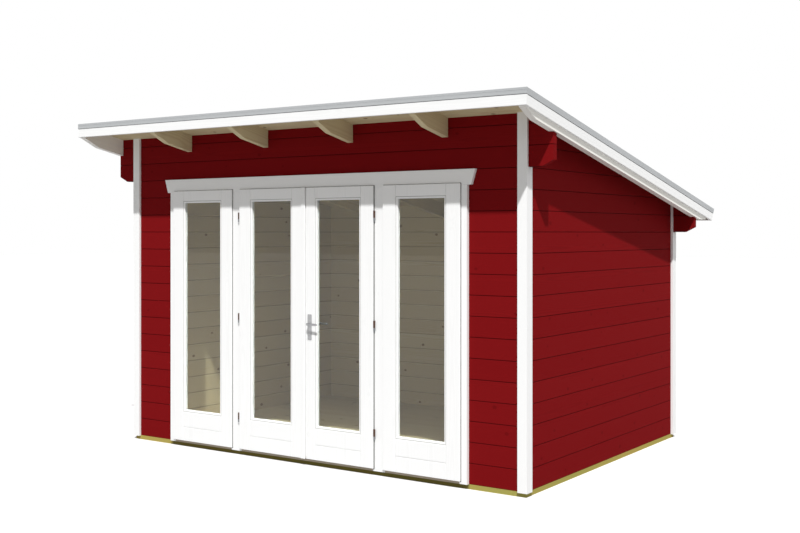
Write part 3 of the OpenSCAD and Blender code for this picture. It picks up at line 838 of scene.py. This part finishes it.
corner_r = 0.006
lock_r, neck_r = 0.0085, 0.0105
lock_drop = 0.072
plate_cx, plate_cz = spindle[0], (plate_low.z + plate_high.z) / 2
plate_hx, plate_hz = (plate_high.x - plate_low.x) / 2, (plate_high.z - plate_low.z) / 2
spin = quarter[None, :] + np.arange(4)[:, None] * math.pi / 2
middle = np.array([[1, 1], [-1, 1], [-1, -1], [1, -1]]) * [plate_hx - corner_r, plate_hz - corner_r]
plate_line = np.stack([plate_cx + middle[:, :1] + corner_r * np.cos(spin),
                       plate_cz + middle[:, 1:] + corner_r * np.sin(spin)], -1).reshape(1, -1, 2)
circle = np.linspace(0, 2 * math.pi, 24, endpoint=False)
lock_line, neck_line = (
    np.stack([plate_cx + r * np.cos(circle), spindle[1] - drop + r * np.sin(circle)], -1)[None]
    for r, drop in ((lock_r, lock_drop), (neck_r, 0.0)))
plate_t = 0.003
lock_out = 0.004
plate_edge = 0.0006
plates = together(*[
    carried(line, low, high, Y)
    for line, out in ((plate_line, 0.0), (lock_line, lock_out), (neck_line, lock_out))
    for low, high in ((leaf_low.y - plate_t - out, leaf_low.y),
                      (leaf_high.y, leaf_high.y + plate_t + out))])
piece("lever_plates", plates, "right_door", satin, ["handle_plates"],
      bevel=plate_edge)

# ---- Floor, light and camera ----
# A pale floor in a white surround. The sun stands high at the front right, the sky is even, and a
# weak soft light from the right keeps that side from going dark.

ground = bpy.data.meshes.new("floor")
half_floor = 60.0
ground.from_pydata([(-half_floor, -half_floor, 0), (half_floor, -half_floor, 0),
                    (half_floor, half_floor, 0), (-half_floor, half_floor, 0)], [], [(0, 1, 2, 3)])
pale = Finish("pale_floor", {})
pale.tree.nodes.remove(pale.shader)
rays = [pale.node("ShaderNodeLightPath", {}, {}, "Is " + kind + " Ray")
        for kind in ("Camera", "Glossy", "Transmission")]
seen = (rays[0] + rays[1] + rays[2]) > 0.5
lit = pale.node("ShaderNodeBsdfDiffuse", {}, {"Color": (0.36, 0.36, 0.36, 1)})
bright = pale.node("ShaderNodeBsdfDiffuse", {}, {"Color": (0.93, 0.93, 0.93, 1)})
both = pale.node("ShaderNodeMixShader", {}, {0: seen, 1: lit, 2: bright})
pale.tree.links.new(both.socket, pale.tree.nodes["Material Output"].inputs["Surface"])
ground.materials.append(pale.material)
floor = bpy.data.objects.new("floor", ground)
bpy.context.scene.collection.objects.link(floor)

sky = bpy.data.worlds.new("sky")
sky.use_nodes = True
bpy.context.scene.world = sky
links = sky.node_tree.links
even = sky.node_tree.nodes["Background"]
even.inputs["Color"].default_value = (1.0, 1.0, 1.0, 1)
path = sky.node_tree.nodes.new("ShaderNodeLightPath")
level = sky.node_tree.nodes.new("ShaderNodeMix")
sky_level = 0.42
level.inputs[2].default_value = sky_level
level.inputs[3].default_value = 1.0
level.clamp_factor = True
shown_to = path.outputs["Is Camera Ray"]
for kind in ("Is Glossy Ray", "Is Transmission Ray"):
    either = sky.node_tree.nodes.new("ShaderNodeMath")
    either.operation = "MAXIMUM"
    links.new(shown_to, either.inputs[0])
    links.new(path.outputs[kind], either.inputs[1])
    shown_to = either.outputs[0]
links.new(shown_to, level.inputs[0])
links.new(level.outputs[0], even.inputs["Strength"])

sun = bpy.data.lights.new("sun", "SUN")
sun.energy = 3.75
sun.angle = math.radians(1.2)
sun_object = bpy.data.objects.new("sun", sun)
sun_height, sun_turn = 51.5, 35.9
sun_object.rotation_euler = (math.radians(90 - sun_height), 0.0, math.radians(sun_turn))
bpy.context.scene.collection.objects.link(sun_object)

fill = bpy.data.lights.new("side_fill", "SUN")
fill.energy = 0.25
fill.angle = math.radians(60)
fill_object = bpy.data.objects.new("side_fill", fill)
fill_height, fill_turn = 10, 90
fill_object.rotation_euler = (math.radians(90 - fill_height), 0.0, math.radians(fill_turn))
bpy.context.scene.collection.objects.link(fill_object)

camera = bpy.data.cameras.new("camera")
camera.lens = 50.0
camera.sensor_width = 36.0
camera.shift_y = -0.043
camera_object = bpy.data.objects.new("camera", camera)
camera_object.location = (5.015, -7.331, 1.647)
camera_turn = 34.57
camera_object.rotation_euler = (math.radians(90), 0.0, math.radians(camera_turn))
bpy.context.scene.collection.objects.link(camera_object)
bpy.context.scene.camera = camera_object
bpy.context.scene.view_settings.view_transform = "Standard"
